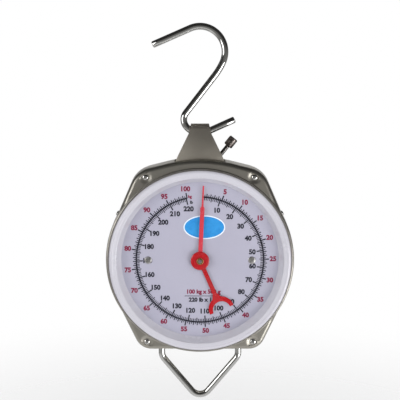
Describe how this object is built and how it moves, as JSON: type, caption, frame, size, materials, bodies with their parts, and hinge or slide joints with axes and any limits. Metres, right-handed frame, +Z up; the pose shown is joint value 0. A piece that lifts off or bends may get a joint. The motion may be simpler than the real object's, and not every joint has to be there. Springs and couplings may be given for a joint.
{
  "type": "hanging spring scale",
  "caption": "Hanging dial scale with a round face, twin springs, rack and pinion, S-hook on top and a V-shaped load bail below.",
  "frame": {"origin": "hang point: the inner top of the S-hook's upper bend, on its mid plane", "axes": "+Z up along the load line, the dial faces -Y, +X to the right of someone reading the dial"},
  "size_m": [0.222, 0.062, 0.4498],
  "materials": {
    "chrome_bar": "polished chrome plating on round steel bar",
    "casing_steel": "satin stainless sheet",
    "zinc_steel": "zinc plated",
    "cast_alloy": "as cast, light machining",
    "frame_plate": "plain rolled plate",
    "bright_screw": "bright nickel plated",
    "bezel_white": "glossy moulded plastic",
    "lens_clear": "clear flat lens",
    "dial_face": "satin enamel with printed scale",
    "movement_brass": "turned brass",
    "guide_nylon": "natural nylon",
    "pointer_red": "gloss enamel",
    "pointer_dark_red": "gloss enamel",
    "spring_steel": "oiled spring wire",
    "knob_metal": "knurled and darkened"
  },
  "bodies": {
    "hook": {"s_hook": "chrome_bar"},
    "scale": {"neck_strap": "casing_steel", "yoke_bolts": "zinc_steel", "upper_yoke": "cast_alloy", "chassis_plate": "frame_plate", "chassis_screws": "zinc_steel", "front_posts": "zinc_steel", "rear_posts": "zinc_steel", "front_shell": "casing_steel", "rear_shell": "casing_steel", "front_corner_screws": "bright_screw", "rear_corner_screws": "bright_screw", "side_screws": "bright_screw", "bezel_ring": "bezel_white", "lens": "lens_clear", "lens_retainer": "bezel_white", "dial_plate": "dial_face", "dial_posts": "frame_plate", "dial_screws": "bright_screw", "front_bush": "movement_brass", "movement_plate": "frame_plate", "movement_pillars": "frame_plate", "movement_screws": "zinc_steel", "rear_bush": "movement_brass", "rack_guide": "guide_nylon", "left_spring": "spring_steel", "right_spring": "spring_steel", "upper_spring_plugs": "zinc_steel", "upper_plug_nuts": "zinc_steel", "zero_bracket": "frame_plate"},
    "pointer_arbor": {"arbor": "zinc_steel", "pinion": "movement_brass", "pointer_hub": "pointer_dark_red", "pointer": "pointer_red", "pointer_tail": "pointer_dark_red", "pointer_nut": "movement_brass"},
    "load_bar": {"lower_crossbar": "cast_alloy", "lower_spring_plugs": "zinc_steel", "rack": "movement_brass", "rack_screws": "zinc_steel"},
    "bail": {"load_bail": "chrome_bar"},
    "zero_knob_body": {"zero_screw": "bright_screw", "zero_knob": "knob_metal"},
    "zero_nut_body": {"zero_nut": "movement_brass"}
  },
  "joints": [
    {"name": "scale_swing", "type": "hinge", "parent": "hook", "child": "scale", "pos_m": [0, 0, -0.1152], "axis": [1, 0, 0], "range_deg": [-35, 35]},
    {"name": "load_slide", "type": "slide", "parent": "scale", "child": "load_bar", "axis": [0, 0, -1], "range_m": [0, 0.02897], "stiffness_N_per_m": 33860, "springref_m": -0.0005, "deforming": ["left_spring", "right_spring"]},
    {"name": "bail_swing", "type": "hinge", "parent": "load_bar", "child": "bail", "pos_m": [0, 0, -0.3318], "axis": [1, 0, 0], "range_deg": [-8, 8]},
    {"name": "pointer_spin", "type": "hinge", "parent": "scale", "child": "pointer_arbor", "pos_m": [0, -0.02, -0.2658], "axis": [0, 1, 0], "range_deg": [0, 346]},
    {"name": "zero_turn", "type": "hinge", "parent": "scale", "child": "zero_knob_body", "pos_m": [0.0236, 0, -0.1442], "axis": [0.6293, 0, 0.7771], "range_deg": [-360, 360]},
    {"name": "zero_nut_slide", "type": "slide", "parent": "scale", "child": "zero_nut_body", "axis": [0.6293, 0, 0.7771], "range_m": [-0.0008, 0.0008]}
  ],
  "couplings": [
    {"joint": "pointer_spin", "follows": "load_slide", "rad_per_m": 208.33},
    {"joint": "zero_turn", "follows": "zero_nut_slide", "rad_per_m": -7854}
  ]
}
